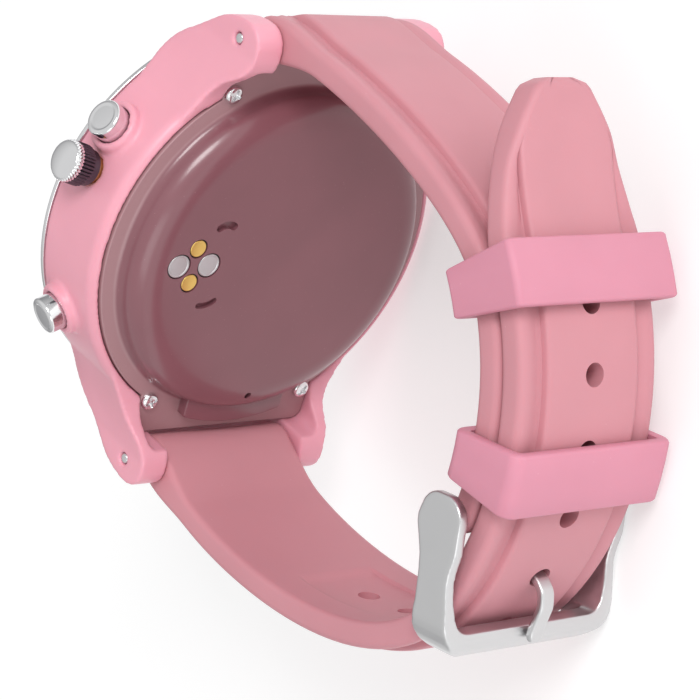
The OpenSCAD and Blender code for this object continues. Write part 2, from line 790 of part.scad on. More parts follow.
module buckle_prong() {
    path = [
        [0.8, -0.2], [4.3, -1.1], [5, -0.3], [6.8, 3.4], [7.8, 4.4], [9.4, 4.6],
        [buckle_l - 2.8, 3.55], [buckle_l - 1, 3.4]
    ];
    color("silver") at_buckle() difference() {
        linear_extrude(height = prong_w, center = true) union() {
            circle(r = buckle_bore / 2 + 0.7);
            for (i = [0 : len(path) - 2]) {
                way = path[i + 1] - path[i];
                translate(path[i]) circle(d = prong_t);
                translate(path[i]) rotate(atan2(way[1], way[0])) translate([0, -prong_t / 2])
                    square([norm(way), prong_t]);
            }
            translate(path[len(path) - 1]) circle(d = prong_t);
        }
        cylinder(d = buckle_bore, h = 60, center = true);
    }
}

case_middle();
bezel_ring();
crystal();
crystal_gasket();
touch_panel();
display_module();
inner_frame();
main_board();
shield_can();
vibration_motor();
microphone();
side_switches();
battery();
battery_pad();
charge_flex();
back_cover();
cover_gasket();
back_screws();
charge_pads();
magnets();
crown_tube();
crown_sleeve();
crown_stem();
crown();
pusher_upper();
pusher_lower();
pusher_clip_upper();
pusher_clip_lower();
pusher_springs();
lug_pin_upper();
lug_pin_lower();
short_strap();
long_strap();
keeper_fixed();
keeper_free();
buckle_pin();
buckle_frame();
buckle_prong();
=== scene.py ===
# %% [markdown]
# # A round smart watch on a buckled silicone band
# The watch lies on its nine o'clock side with its band closed. Its sizes, places and moving
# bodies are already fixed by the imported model, which is loaded first. Everything below gives
# those bodies their finished shapes and surfaces. +X points from the dial to the wrist, +Y to
# twelve o'clock and +Z to the crown.

import json
import math

import bmesh
import bpy
from mathutils import Matrix, Vector


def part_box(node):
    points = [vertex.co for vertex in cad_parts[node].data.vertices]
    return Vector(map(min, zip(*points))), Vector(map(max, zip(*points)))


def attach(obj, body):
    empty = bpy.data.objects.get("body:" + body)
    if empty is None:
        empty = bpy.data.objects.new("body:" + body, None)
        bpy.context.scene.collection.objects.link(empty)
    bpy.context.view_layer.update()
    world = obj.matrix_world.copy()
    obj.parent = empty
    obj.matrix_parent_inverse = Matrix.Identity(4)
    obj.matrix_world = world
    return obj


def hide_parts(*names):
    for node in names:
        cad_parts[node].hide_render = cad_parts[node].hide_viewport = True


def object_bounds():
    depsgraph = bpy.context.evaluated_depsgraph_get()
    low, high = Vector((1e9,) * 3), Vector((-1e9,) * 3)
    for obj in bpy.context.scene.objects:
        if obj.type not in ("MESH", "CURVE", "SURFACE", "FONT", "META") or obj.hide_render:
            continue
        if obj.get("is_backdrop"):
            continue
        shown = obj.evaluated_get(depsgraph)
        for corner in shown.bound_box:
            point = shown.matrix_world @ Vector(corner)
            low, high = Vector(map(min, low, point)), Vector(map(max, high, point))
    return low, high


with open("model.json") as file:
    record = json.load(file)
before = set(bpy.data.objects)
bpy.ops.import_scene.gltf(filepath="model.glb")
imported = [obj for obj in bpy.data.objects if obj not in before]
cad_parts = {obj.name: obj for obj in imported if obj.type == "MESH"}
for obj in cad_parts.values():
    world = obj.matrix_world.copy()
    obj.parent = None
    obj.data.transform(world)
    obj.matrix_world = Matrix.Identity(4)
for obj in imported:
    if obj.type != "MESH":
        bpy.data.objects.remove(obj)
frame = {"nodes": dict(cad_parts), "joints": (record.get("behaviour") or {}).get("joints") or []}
cad_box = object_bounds()
print("box in mm:", [round(1000 * (b - a), 1) for a, b in zip(*cad_box)])

# %% [markdown]
# ## Working in millimetres
# A watch is thought of in millimetres, round the axis of its dial. Each piece is therefore drawn
# in a handy frame of its own, and one matrix puts it in its place in metres at the end, so that
# the finished object can stay at the origin.

# %% Frames and sizes
MM = 0.001
TURN = 2 * math.pi


def box_mm(node):
    low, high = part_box(node)
    return low / MM, high / MM


DOME_H = 3.6
CASE_R = box_mm("bezel_ring")[1].z
CASE_H = 11.0
SIDE_N = 6.8
ROW = Matrix.Scale(MM, 4)
# The head's own frame has x to the crown, y to twelve o'clock and z out of the dial
HEAD = ROW @ Matrix(((0, 0, -1, -DOME_H), (0, 1, 0, 0), (1, 0, 0, 0), (0, 0, 0, 1)))


def side_axis(degrees):
    """A frame at the head's axis whose z points outwards, at the height of the side buttons."""
    turned = Matrix.Rotation(math.radians(degrees), 4, "Z") @ Matrix.Translation((0, 0, SIDE_N))
    return HEAD @ turned @ Matrix.Rotation(math.pi / 2, 4, "Y")


CROWN_ANGLE, UPPER_ANGLE, LOWER_ANGLE = 18, 31, -25
print("case radius", round(CASE_R, 2), "mm")

# %% [markdown]
# ## Outlines with round corners
# Moulded and turned parts have no sharp corners. An outline is written as its few corner points,
# each with the radius that rounds it, and a helper swaps every corner for an arc. The same
# outlines then serve for turning, extruding and cutting.


# %% Rounded outlines
def rounded(corners, steps=5, closed=True):
    """Points of an outline whose corners (x, y, radius) are rounded by arcs."""
    points = []
    count = len(corners)
    for i, (x, y, radius) in enumerate(corners):
        here = Vector((x, y))
        if radius == 0 or (not closed and i in (0, count - 1)):
            points.append(here)
            continue
        back = Vector(corners[i - 1][:2]) - here
        ahead = Vector(corners[(i + 1) % count][:2]) - here
        half = back.angle(ahead) / 2
        reach = min(radius / math.tan(half), 0.49 * back.length, 0.49 * ahead.length)
        start, end = here + back.normalized() * reach, here + ahead.normalized() * reach
        halfway = (back.normalized() + ahead.normalized()).normalized()
        middle = here + halfway * reach / math.cos(half)
        for k in range(steps + 1):
            arm = (start - middle).lerp(end - middle, k / steps)
            points.append(middle + arm.normalized() * (start - middle).length)
    return points


def rounded_box(half_x, half_y, radius, steps=5):
    """A rectangle about the origin with four equal round corners."""
    signs = ((1, -1), (1, 1), (-1, 1), (-1, -1))
    return rounded([(sx * half_x, sy * half_y, radius) for sx, sy in signs], steps)


# %% [markdown]
# ## Four ways of making a solid
# Turned parts are spun on a lathe from half of their section. Plates are prisms: an outline that
# is filled, extruded and bevelled. Swept parts are a grid of quads laid over a row of rings, as
# a sock is pulled over a form. Parts with many fillets are joined from plain solids, melted
# together by a voxel remesh and smoothed, because that rounds every inner corner as a mould does.


# %% Lathe, prism and skin
def lathe(profile, steps=128, closed=False):
    """A solid of revolution about z from (radius, height) points."""
    bm = bmesh.new()
    verts = [bm.verts.new((p[0], 0, p[1])) for p in profile]
    edges = [bm.edges.new(pair) for pair in zip(verts, verts[1:])]
    if closed:
        edges.append(bm.edges.new((verts[-1], verts[0])))
    bmesh.ops.spin(bm, geom=verts + edges, cent=(0, 0, 0), axis=(0, 0, 1), angle=TURN, steps=steps,
                   use_merge=True)
    return welded(bm)


def welded(bm, distance=1e-4):
    bmesh.ops.remove_doubles(bm, verts=bm.verts, dist=distance)
    bmesh.ops.recalc_face_normals(bm, faces=bm.faces)
    return bm


def bevel_sharp(bm, size, segments=3, degrees=40):
    """Rounds the edges where the surface turns by more than the given angle."""
    sharp = [e for e in bm.edges if e.calc_face_angle(0) > math.radians(degrees)]
    bmesh.ops.bevel(bm, geom=sharp, offset=size, segments=segments, affect="EDGES", profile=0.5,
                    material=-1, clamp_overlap=True)
    return bm


def prism(outline, low, high, edge=0.0, segments=3):
    """An extruded outline, along z from low to high, with its rims rounded."""
    bm = bmesh.new()
    face = bm.faces.new([bm.verts.new((p[0], p[1], low)) for p in outline])
    grown = bmesh.ops.extrude_face_region(bm, geom=[face])["geom"]
    tops = [g for g in grown if isinstance(g, bmesh.types.BMVert)]
    bmesh.ops.translate(bm, verts=tops, vec=(0, 0, high - low))
    bmesh.ops.recalc_face_normals(bm, faces=bm.faces)
    if edge:
        rims = [e for e in bm.edges if abs(e.verts[0].co.z - e.verts[1].co.z) < 1e-6]
        bmesh.ops.bevel(bm, geom=rims, offset=edge, segments=segments, affect="EDGES", profile=0.5,
                        material=-1, clamp_overlap=True)
    return bm


def skin(rings, looped=False):
    """A grid laid over a row of rings, welded into a tube with closed ends, or into a loop."""
    along, around = len(rings) - (0 if looped else 1), len(rings[0])
    bm = bmesh.new()
    bmesh.ops.create_grid(bm, x_segments=along, y_segments=around, size=0.5)
    for v in bm.verts:
        i, j = round((v.co.x + 0.5) * along), round((v.co.y + 0.5) * around)
        v.co = rings[i % len(rings)][j % around]
    bmesh.ops.remove_doubles(bm, verts=bm.verts, dist=1e-4)
    open_rims = [e for e in bm.edges if e.is_boundary]
    if open_rims:
        bmesh.ops.holes_fill(bm, edges=open_rims, sides=0)
    return welded(bm)


def moved(bm, matrix):
    bm.transform(matrix)
    return bm


def joined(*parts):
    """One bmesh that holds several."""
    whole = bmesh.new()
    for part in parts:
        mesh = bpy.data.meshes.new("part")
        part.to_mesh(mesh)
        whole.from_mesh(mesh)
        bpy.data.meshes.remove(mesh)
        part.free()
    return whole


# %% Cutting and melting
def through_modifier(bm, kind, **settings):
    """The bmesh after one modifier, which a short-lived object carries."""
    mesh = bpy.data.meshes.new("blank")
    bm.to_mesh(mesh)
    bm.free()
    blank = bpy.data.objects.new("blank", mesh)
    bpy.context.scene.collection.objects.link(blank)
    modifier = blank.modifiers.new("step", kind)
    for key, value in settings.items():
        setattr(modifier, key, value)
    shown = blank.evaluated_get(bpy.context.evaluated_depsgraph_get())
    made = bmesh.new()
    result = bpy.data.meshes.new_from_object(shown)
    made.from_mesh(result)
    bpy.data.objects.remove(blank)
    bpy.data.meshes.remove(mesh)
    bpy.data.meshes.remove(result)
    return made


def carve(bm, tool, operation="DIFFERENCE"):
    """Joins, cuts or intersects one solid with another."""
    mesh = bpy.data.meshes.new("tool")
    tool.to_mesh(mesh)
    tool.free()
    cutter = bpy.data.objects.new("tool", mesh)
    bpy.context.scene.collection.objects.link(cutter)
    made = through_modifier(bm, "BOOLEAN", object=cutter, operation=operation, solver="MANIFOLD")
    bpy.data.objects.remove(cutter)
    bpy.data.meshes.remove(mesh)
    return made


def melt(bm, voxel, passes):
    """Remeshes joined solids as one skin of even quads and smooths it, which rounds corners."""
    made = through_modifier(bm, "REMESH", mode="VOXEL", voxel_size=voxel, adaptivity=0)
    for _ in range(passes):
        bmesh.ops.smooth_vert(made, verts=made.verts, factor=0.5, use_axis_x=True, use_axis_y=True,
                              use_axis_z=True)
    return made


# %% Putting a piece in its place
def finished(name, bm, place, body, finish, stands_for=(), crease=35):
    """Makes the object: placed in metres, shaded smooth up to the crease angle, riding its body."""
    bm.transform(place)
    bmesh.ops.recalc_face_normals(bm, faces=bm.faces)
    for face in bm.faces:
        face.smooth = True
    for edge in bm.edges:
        edge.smooth = edge.calc_face_angle(0) < math.radians(crease)
    mesh = bpy.data.meshes.new(name)
    bm.to_mesh(mesh)
    bm.free()
    mesh.materials.append(finish)
    obj = bpy.data.objects.new(name, mesh)
    bpy.context.scene.collection.objects.link(obj)
    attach(obj, body)
    if stands_for:
        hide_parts(*stands_for)
    print(f"{name}: {len(mesh.vertices)} points")
    return obj


# %% [markdown]
# ## Surfaces as small sums
# A finish is a shader with a few constants, plus the little variations that make it real. The
# variations are sums over noise, so one small class lets a socket be added and multiplied like a
# number. Patterns read Object coordinates in millimetres, so they keep their size on every piece.


# %% The finish kit
class Wire:
    """A value that changes over a surface: a socket that can be used in sums."""

    def __init__(self, finish, socket):
        self.finish, self.socket = finish, socket

    def maths(self, operation, first, second):
        return self.finish.add("ShaderNodeMath", dict(operation=operation), {0: first, 1: second})

    def __add__(self, other):
        return self.maths("ADD", self, other)

    def __mul__(self, other):
        return self.maths("MULTIPLY", self, other)

    def __sub__(self, other):
        return self.maths("SUBTRACT", self, other)

    def __rsub__(self, other):
        return self.maths("SUBTRACT", other, self)

    def __pow__(self, other):
        return self.maths("POWER", self, other)

    __radd__, __rmul__ = __add__, __mul__

    def between(self, low, high):
        """0 below low, 1 above high, smooth in between."""
        settings = dict(interpolation_type="SMOOTHSTEP")
        return self.finish.add("ShaderNodeMapRange", settings,
                               {0: self, 1: low, 2: high, 3: 0.0, 4: 1.0})


class Finish:
    """A material: constants on the shader, and wires for what varies."""

    def __init__(self, name, colour, **constants):
        self.material = bpy.data.materials.new(name)
        self.material.use_nodes = True
        self.tree = self.material.node_tree
        self.shader = self.tree.nodes["Principled BSDF"]
        self.shader.inputs["Base Color"].default_value = (*colour, 1)
        for key, value in constants.items():
            self.shader.inputs[key.replace("_", " ")].default_value = value
        self.colour = (*colour, 1)
        where = self.tree.nodes.new("ShaderNodeTexCoord").outputs["Object"]
        self.place = self.add("ShaderNodeMapping", {}, {0: Wire(self, where), 3: (1 / MM,) * 3})

    def add(self, kind, settings, inputs, output=0):
        """One node: its settings first, then its sockets as values or wires."""
        node = self.tree.nodes.new(kind)
        for key, value in settings.items():
            setattr(node, key, value)
        for key, value in inputs.items():
            if isinstance(value, Wire):
                self.tree.links.new(value.socket, node.inputs[key])
            else:
                node.inputs[key].default_value = value
        return Wire(self, node.outputs[output])

    def noise(self, per_mm, detail=2.0, stretch=(1, 1, 1)):
        place = self.place
        if stretch != (1, 1, 1):
            place = self.add("ShaderNodeMapping", {}, {0: self.place, 3: stretch})
        return self.add("ShaderNodeTexNoise", {},
                        {"Vector": place, "Scale": per_mm, "Detail": detail})

    def specks(self, per_mm, size):
        """1 inside small scattered dots, 0 outside."""
        far = self.add("ShaderNodeTexVoronoi", {}, {"Vector": self.place, "Scale": per_mm})
        return 1 - far.between(0.4 * size, size)

    def axis(self, name):
        """The place along x, y or z in millimetres."""
        index = "XYZ".index(name)
        return self.add("ShaderNodeSeparateXYZ", {}, {0: self.place}, index)

    def blend(self, factor, first, second):
        colours = {0: factor, 6: first, 7: second}
        return self.add("ShaderNodeMix", dict(data_type="RGBA", clamp_factor=True), colours, 2)

    def feed(self, socket, wire):
        self.tree.links.new(wire.socket, self.shader.inputs[socket])
        return self

    def grain(self, height, depth_mm, strength=1.0):
        """Relief of the given depth from a height of 0 to 1."""
        inputs = {"Height": height, "Distance": depth_mm * MM, "Strength": strength}
        return self.feed("Normal", self.add("ShaderNodeBump", {}, inputs))


def tint(colour, factor):
    return (*[min(1.0, c * factor) for c in colour], 1)


# %% [markdown]
# ## Silicone
# Moulded silicone is matt and a little translucent, with a fine blasted grain from its mould and
# a few dust specks that cling to it. A trace of subsurface light softens its edges, and broad
# weak noise keeps large faces from looking flat.


# %% Silicone and plastic finishes
def silicone(name, colour):
    f = Finish(name, colour, Subsurface_Weight=0.12, Subsurface_Scale=0.0012,
               Specular_IOR_Level=0.35)
    f.shader.inputs["Subsurface Radius"].default_value = (1.0, 0.35, 0.3)
    broad, fine = f.noise(0.09), f.noise(7, 3)
    dust = f.specks(0.55, 0.035)
    base = f.blend(broad.between(0.3, 0.7) * 0.55, tint(colour, 0.955), tint(colour, 1.03))
    f.feed("Base Color", f.blend(dust * 0.3, base, (0.9, 0.78, 0.78, 1)))
    f.feed("Roughness", 0.44 + 0.1 * fine + 0.05 * broad)
    f.grain(fine, 0.02, 0.5)
    return f.material


def case_plastic(name, colour):
    f = Finish(name, colour, Subsurface_Weight=0.06, Subsurface_Scale=0.001, Coat_Weight=0.12)
    f.shader.inputs["Coat Roughness"].default_value = 0.3
    broad, fine = f.noise(0.12), f.noise(9, 3)
    flow = f.noise(0.5, 2, (1, 0.2, 0.2))
    base = f.blend(broad.between(0.3, 0.7) * 0.6, tint(colour, 0.96), tint(colour, 1.02))
    f.feed("Base Color", base)
    f.feed("Roughness", 0.36 + 0.08 * fine + 0.05 * flow)
    f.grain(fine + 2 * flow, 0.006, 0.5)
    return f.material


def cover_plastic(name, colour):
    f = Finish(name, colour, Coat_Weight=0.4, Specular_IOR_Level=0.5)
    f.shader.inputs["Coat Roughness"].default_value = 0.16
    broad, fine = f.noise(0.1), f.noise(12, 2)
    dust = f.specks(1.3, 0.06)
    rub = f.noise(1.2, 3, (0.3, 1.8, 1.8)).between(0.55, 0.8)
    flange = 1 - f.axis("X").between(-3.6, -3.3)
    base = f.blend(broad.between(0.3, 0.7) * 0.5, tint(colour, 0.93), tint(colour, 1.06))
    # Painted sheen: the flange is blended towards a lighter, greyer pink that stands in for the
    # diffuse light its matt face reflects. Its added roughness is the real matt finish.
    base = f.blend(flange * 0.75, base, (0.4, 0.235, 0.25, 1))
    f.feed("Base Color", f.blend(dust * 0.35, base, (0.7, 0.5, 0.5, 1)))
    f.feed("Roughness", 0.27 + 0.05 * fine + 0.07 * rub + 0.16 * flange)
    f.grain(fine, 0.004, 0.4)
    return f.material


BAND = silicone("band_silicone", (0.578, 0.252, 0.29))
KEEPER = silicone("keeper_silicone", (0.625, 0.255, 0.337))
CASE = case_plastic("case_pink", (0.77, 0.335, 0.415))
COVER = cover_plastic("cover_pink", (0.215, 0.08, 0.098))

# %% [markdown]
# ## Metals
# Polished steel shows its surroundings, so its variation is only in the polish: faint lapping
# marks and a trace of handling haze. The buckle is bead blasted, which scatters the light, and
# its wear polishes the high spots. Springs, pins and screws are plainer plated steels.


# %% Metal finishes
def metal(name, colour, rough, marks=0.05, grain=0.002, stretch=(1, 1, 1), per_mm=3.0, haze=0.06):
    f = Finish(name, colour, Metallic=1.0)
    scratch, smear = f.noise(per_mm, 3, stretch), f.noise(0.3)
    f.feed("Base Color", f.blend(smear * 0.5, tint(colour, 0.94), tint(colour, 1.03)))
    f.feed("Roughness", rough + marks * scratch + haze * smear.between(0.45, 0.75))
    f.grain(scratch, grain, 0.5)
    return f.material


POLISHED = metal("polished_steel", (0.83, 0.83, 0.84), 0.06)
BUCKLE = metal("buckle_steel", (0.68, 0.68, 0.685), 0.27, 0.1, 0.006, per_mm=9)
PIN = metal("pin_steel", (0.7, 0.7, 0.71), 0.2, 0.1, 0.003, (1, 1, 0.15))
SCREW = metal("screw_steel", (0.85, 0.85, 0.86), 0.12, 0.08)
GOLD = metal("contact_gold", (0.93, 0.66, 0.2), 0.3, 0.12)
MAGNET = metal("magnet_nickel", (0.66, 0.66, 0.67), 0.34, 0.12)
BRASS = metal("tube_brass", (0.72, 0.53, 0.24), 0.28, 0.1, 0.004, (1, 1, 0.2))
KNURL = metal("knurled_steel", (0.11, 0.11, 0.13), 0.26, 0.1)

# %% [markdown]
# ## Glass, screen and the pieces inside
# The crystal is clear glass over a black display, so the dial side reads as deep gloss black.
# The pieces that a closed watch hides still get the finish of their own trade: solder mask with
# copper tracks, foil, foam, film and moulded frames.


# %% Hidden and dial finishes
def clear_glass():
    f = Finish("crystal_glass", (0.96, 0.97, 0.98), IOR=1.5, Transmission_Weight=1.0)
    f.feed("Roughness", 0.01 + 0.02 * f.noise(0.2).between(0.5, 0.8))
    return f.material


def plain_plastic(name, colour, rough, grain=0.01, per_mm=6.0, **constants):
    f = Finish(name, colour, **constants)
    fine = f.noise(per_mm, 3)
    f.feed("Base Color", f.blend(f.noise(0.2), tint(colour, 0.85), tint(colour, 1.15)))
    f.feed("Roughness", rough + 0.1 * fine)
    f.grain(fine, grain, 0.6)
    return f.material


def board_finish():
    f = Finish("board_green", (0.02, 0.15, 0.07))
    wave = dict(wave_type="BANDS", bands_direction="DIAGONAL", wave_profile="SAW")
    tracks = f.add("ShaderNodeTexWave", wave, {"Vector": f.place, "Scale": 0.6, "Distortion": 2.5},
                   1)
    lines = tracks.between(0.8, 0.9)
    f.feed("Base Color", f.blend(lines, (0.012, 0.11, 0.045, 1), (0.03, 0.24, 0.1, 1)))
    f.feed("Roughness", 0.3 + 0.1 * f.noise(4))
    f.grain(lines, 0.02)
    return f.material


GLASS = clear_glass()
SCREEN = plain_plastic("screen_black", (0.006, 0.006, 0.008), 0.08, 0.001, Coat_Weight=0.5)
RUBBER = plain_plastic("seal_rubber", (0.02, 0.02, 0.021), 0.55, 0.02)
FRAME = plain_plastic("frame_plastic", (0.07, 0.07, 0.08), 0.45)
BOARD = board_finish()
FOIL = metal("battery_foil", (0.75, 0.75, 0.77), 0.3, 0.15, 0.05, per_mm=0.8)
FOAM = plain_plastic("pad_foam", (0.75, 0.75, 0.72), 0.8, 0.08, 4)
FILM = plain_plastic("flex_film", (0.62, 0.24, 0.03), 0.3, 0.01)
print(len(bpy.data.materials), "finishes")

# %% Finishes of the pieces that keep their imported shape
KEPT = {
    "crystal_gasket": RUBBER, "cover_gasket": RUBBER, "touch_panel": GLASS,
    "display_module": SCREEN,
    "inner_frame": FRAME, "side_switches": FRAME, "microphone": FRAME, "crown_sleeve": FRAME,
    "main_board": BOARD, "shield_can": SCREW, "vibration_motor": SCREW, "battery": FOIL,
    "battery_pad": FOAM, "charge_flex": FILM, "crown_tube": BRASS, "crown_stem": PIN,
    "pusher_clip_upper": PIN, "pusher_clip_lower": PIN, "pusher_springs": PIN, "buckle_pin": BUCKLE,
}
for node, finish in KEPT.items():
    mesh = frame["nodes"][node].data
    mesh.materials.clear()
    mesh.materials.append(finish)
print(len(KEPT), "pieces keep their shape")

# %% [markdown]
# ## The case
# The case is one moulding: a round wall, four lugs that flow out of it, a block between each pair
# of lugs, and a collar round each pusher. It could be box modelled, but the blends between wall
# and lug are easier to get by joining plain solids and melting them together. All the cuts are
# made first, so the melt also softens the pocket's rim and the mouths of the bores.

# %% Case
PIN_LOW, PIN_HIGH = box_mm("lug_pin_upper")
PIN_AT = (PIN_LOW + PIN_HIGH) / 2
LUG_OUT = PIN_HIGH.z + 0.2
LUG_IN = 10.1
FLANGE_R, FLANGE_T, TAB_HALF, TAB_END = 23.1, 1.4, 12.75, 24.35
CAVITY_R = CASE_R - 3
COLLAR_R, COLLAR_TOP = 3.2, CASE_R + 1.2


# Turns a side view (x up the dial, y out of it) to stand across the head
STANDING = Matrix(((0, 0, 1, 0), (1, 0, 0, 0), (0, 1, 0, 0), (0, 0, 0, 1)))


def side_local(degrees):
    return HEAD.inverted() @ side_axis(degrees)


def lug():
    """One lug: its side view times its plan, with its long edges rounded."""
    side = rounded([
        (CASE_R - 8.5, 0.4, 0), (21.2, -0.5, 5), (24.4, -4.9, 4), (PIN_AT.y + 2.45, -4.9, 3.4),
        (PIN_AT.y + 2.45, 1.4, 9), (22.6, 10.8, 8), (CASE_R - 8.5, 10.8, 0)], 14)
    root = Vector((math.cos(math.radians(43)), math.sin(math.radians(43)))) * CASE_R * 0.99
    pull, tip = Vector((LUG_OUT + 1, 0.857 * CASE_R)), Vector((LUG_OUT, PIN_AT.y - 1.3))
    flank = [root.lerp(pull, t / 8).lerp(pull.lerp(tip, t / 8), t / 8) for t in range(9)]
    plan = [Vector((LUG_IN, 15.4)), Vector((root.x, 15.4)), *flank, Vector((LUG_OUT, 34)),
            Vector((LUG_IN, 34))]
    solid = carve(moved(prism(side, 8, 20), STANDING), prism(plan, -9, 14), "INTERSECT")
    return bevel_sharp(welded(solid, 0.02), 0.75, 4, 50)


def flange_solid(grow, low, high, edge=0.0):
    """The cover's outline, round with a tab towards each pair of lugs."""
    disc = rounded([(0, low, 0), (FLANGE_R + grow, low, edge), (FLANGE_R + grow, high, edge),
                    (0, high, 0)],
                   3, closed=False)
    tab = rounded_box(TAB_HALF + grow, TAB_END + grow, 1.3)
    return carve(lathe(disc, 192), prism(tab, low, high, edge), "UNION")


def cylinder(radius, low, high, steps=48):
    return lathe([(0, low), (radius, low), (radius, high), (0, high)], steps)


wall = rounded([(CAVITY_R, 0.1, 0.2), (CASE_R, 0.1, 1.3), (CASE_R, CASE_H, 0.5),
                (CAVITY_R, CASE_H, 0.1)], 4)
case = lathe(wall, 192, closed=True)
for across in (1, -1):
    for up in (1, -1):
        flip = Matrix.Diagonal((across, up, 1, 1))
        case = carve(case, welded(moved(lug(), flip)), "UNION")
for up in (1, -1):
    block = rounded([(20, 1.5, 0), (24.6, 1.5, 0.8), (26.8, 2.15, 0.6), (26.8, 4.3, 1.5),
                     (22.6, 9.2, 2), (20, 9.2, 0)])
    block = moved(prism(block, 0.4 - LUG_OUT, LUG_OUT - 0.4), STANDING)
    case = carve(case, welded(moved(block, Matrix.Diagonal((1, up, 1, 1)))), "UNION")
for degrees in (UPPER_ANGLE, LOWER_ANGLE):
    collar = rounded([(0, 22.4, 0), (COLLAR_R, 22.4, 0), (COLLAR_R, COLLAR_TOP, 0.5),
                      (0, COLLAR_TOP, 0)], 4, False)
    case = carve(case, moved(lathe(collar, 64), side_local(degrees)), "UNION")
case = carve(case, cylinder(CAVITY_R, -6, CASE_H + 2, 192))
case = carve(case, cylinder(22.3, CASE_H - 0.8, CASE_H + 2, 192))
case = carve(case, flange_solid(0.16, -12, FLANGE_T))
for degrees in (UPPER_ANGLE, LOWER_ANGLE):
    case = carve(case, moved(cylinder(2.32, CASE_R - 1, CASE_R + 4), side_local(degrees)))
case = carve(case, moved(cylinder(1.7, CAVITY_R - 1, CASE_R + 4), side_local(CROWN_ANGLE)))
for up in (1, -1):
    bore = Matrix.Translation((0, up * PIN_AT.y, -0.9)) @ Matrix.Rotation(math.pi / 2, 4, "Y")
    case = carve(case, moved(cylinder(0.78, -20, 20), bore))
case = melt(case, 0.27, 4)
finished("case_body", case, HEAD, "watch", CASE, ["case_middle"], 60)

# %% [markdown]
# ## The back cover
# The cover is a gloss moulding: a flange that carries the screws, a dome that rests on the skin,
# and a low tab at six o'clock. Gloss shows every facet, so the dome is turned on a lathe with many
# steps instead of melted, and only then joined to its flange and drilled.

# %% Cover
FLAT_R, DOME_R = 17.0, 21.6
shoulder = []
for step in range(1, 15):
    turn = math.radians(90 * step / 14)
    shoulder.append((FLAT_R + 3.7 * math.sin(turn), -DOME_H + 2.5 * (1 - math.cos(turn))))
foot = [(20.86, -0.6), (21.08, -0.28), (21.34, -0.08), (DOME_R, 0.02)]
dome_line = [(0, -DOME_H), (FLAT_R * 0.75, -DOME_H), (FLAT_R, -DOME_H), *shoulder, *foot,
             (DOME_R, 0.8), (0, 0.8)]
cover = carve(flange_solid(0, 0, FLANGE_T, 0.22), lathe(dome_line, 256), "UNION")

tab_r = FLANGE_R - 0.15
tab_left, tab_right = -7.7, 6.9
arc = [math.asin(x / tab_r) for x in (tab_left, tab_right)]
tab_edge = [(tab_r * math.sin(a), -tab_r * math.cos(a), 0.5 if k in (0, 12) else 0)
            for k, a in ((k, arc[0] + (arc[1] - arc[0]) * k / 12) for k in range(13))]
tab_shape = rounded([(tab_left, -17, 0), *tab_edge, (tab_right, -17, 0)], 4)
cover = carve(cover, prism(tab_shape, -1.55, 0.6, 0.3), "UNION")

CONTACT_X, PAD_R, MAGNET_R = 13.3, 1.08, 1.45
PAD_SPOTS = [(CONTACT_X, s * 2.22) for s in (1, -1)]
MAGNET_SPOTS = [(CONTACT_X + s * (MAGNET_R + 0.68), 0) for s in (1, -1)]
RING = 0.15


def at(spot, bm, angle=0.0):
    turned = Matrix.Rotation(math.radians(angle), 4, "Z")
    return moved(bm, Matrix.Translation((spot[0], spot[1], 0)) @ turned)


cover = carve(cover, cylinder(FLAT_R + 1.4, 1.2 - DOME_H, 4, 192))
for spot in PAD_SPOTS:
    cover = carve(cover, at(spot, cylinder(PAD_R + RING, -5, -2)))
for spot in MAGNET_SPOTS:
    cover = carve(cover, at(spot, cylinder(MAGNET_R + RING, -5, -2)))


def bean(bend_r, width, sweep):
    """A curved slot with round ends, concave towards its own origin."""
    outline = []
    for side in (1, -1):
        for k in range(9):
            a = math.radians(90 - side * sweep + side * 2 * sweep * k / 8)
            outline.append(Vector((math.cos(a), math.sin(a))) * (bend_r + side * width / 2))
        tip = Vector((math.cos(a), math.sin(a))) * bend_r
        for k in range(1, 8):
            b = a + math.radians(180 * k / 8) + (0 if side > 0 else math.pi)
            outline.append(tip + Vector((math.cos(b), math.sin(b))) * width / 2)
    return prism(outline, -5, -3.0)


cover = carve(cover, at((9.9, 3.5), bean(1.7, 0.95, 36), -5))
cover = carve(cover, at((10.8, -2.3), bean(3, 0.8, 21), 165))
cover = carve(cover, at((-0.4, 3.1 - CAVITY_R), cylinder(0.45, -5, 2)))
finished("back_cover_shell", cover, HEAD, "watch", COVER, ["back_cover"], 28)

# %% [markdown]
# ## Contacts and screws
# The gold pads and nickel magnets are small turned discs set a hair below the dome's face, each in
# a dark ring of potting. The screws are pan heads with a cross recess, and each one stopped at
# its own angle.

# %% Contacts
seals = joined(*[at(s, cylinder(PAD_R + RING, -3.38, -2.9)) for s in PAD_SPOTS],
               *[at(s, cylinder(MAGNET_R + RING, -3.38, -2.9)) for s in MAGNET_SPOTS])
finished("contact_potting", seals, HEAD, "watch", RUBBER)
pad_line = rounded([(0, -3.56, 0), (PAD_R, -3.56, 0.12), (PAD_R, -2.4, 0), (0, -2.4, 0)], 3, False)
pads = joined(*[at(s, lathe(pad_line, 64)) for s in PAD_SPOTS])
finished("contact_pads", pads, HEAD, "watch", GOLD, ["charge_pads"])
magnet_line = rounded([(0, -3.5, 0), (1.16, -3.5, 0.05), (1.24, -3.58, 0.05),
                       (MAGNET_R, -3.58, 0.1),
                       (MAGNET_R, -2.4, 0), (0, -2.4, 0)], 3, False)
discs = joined(*[at(s, lathe(magnet_line, 64)) for s in MAGNET_SPOTS])
finished("holding_magnets", discs, HEAD, "watch", MAGNET, ["magnets"])

